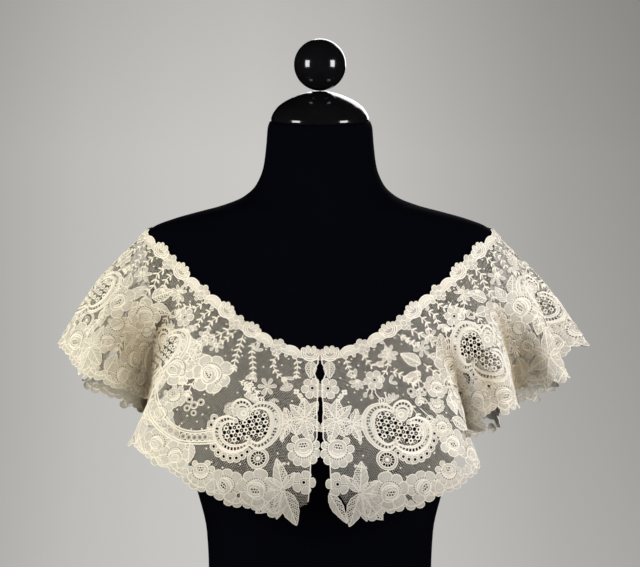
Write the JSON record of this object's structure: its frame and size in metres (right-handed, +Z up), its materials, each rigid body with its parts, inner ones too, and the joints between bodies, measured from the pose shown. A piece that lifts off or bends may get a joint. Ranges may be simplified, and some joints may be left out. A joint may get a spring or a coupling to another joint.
{
  "type": "bertha collar on a dress form",
  "caption": "Deep flounced bertha collar of needle lace on net, open at the front, resting round the shoulders of a limbless black dress form with a capped neck.",
  "frame": {"origin": "middle of the dress form's flat foot", "axes": "+Z up, -Y the way the collar's opening faces, +X to the right as seen from the front"},
  "size_m": [0.5729, 0.2836, 0.753],
  "materials": {
    "jersey": "matte knitted jersey, near black",
    "lacquer": "high gloss black lacquer",
    "lace": "matte cream cotton lace on fine net",
    "lace_border": "matte cream cotton, close worked"
  },
  "bodies": {
    "root": {"dress_form": "jersey", "neck_cap": "lacquer", "finial_ball": "lacquer", "lace_right": "lace", "lace_left": "lace", "neck_border_right": "lace_border", "neck_border_left": "lace_border"}
  },
  "joints": []
}
